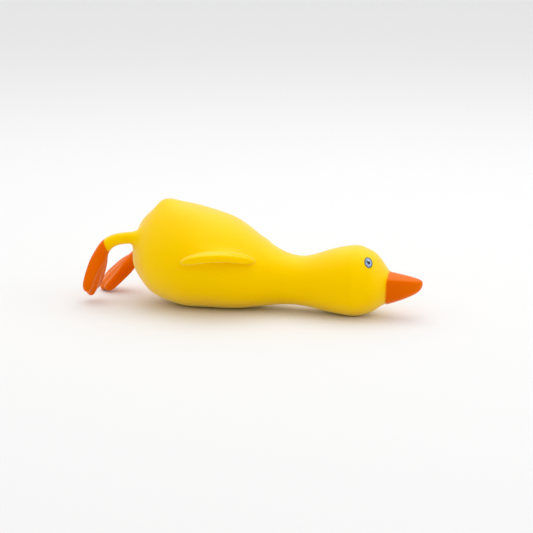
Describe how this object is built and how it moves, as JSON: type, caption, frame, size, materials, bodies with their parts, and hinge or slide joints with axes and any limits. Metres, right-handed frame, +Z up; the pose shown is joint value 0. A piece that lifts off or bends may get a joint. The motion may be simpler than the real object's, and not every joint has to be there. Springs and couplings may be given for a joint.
{
  "type": "squishy toy duck",
  "caption": "Soft squeeze duck in satin yellow rubber that lies stretched out on its belly, chin on the table, with an orange beak, short wings and trailing webbed feet.",
  "frame": {"origin": "Point on the table plane inside the flat patch on which the belly rests, on the duck's middle plane.", "axes": "+X runs from the rump to the tip of the beak, +Y points to the duck's left side, +Z is up from the table."},
  "size_m": [0.1987, 0.0724, 0.0607],
  "materials": {
    "yellow_rubber": "satin, moulded, with a soft sheen"
  },
  "bodies": {
    "root": {"squishy_duck": "yellow_rubber"}
  },
  "joints": []
}
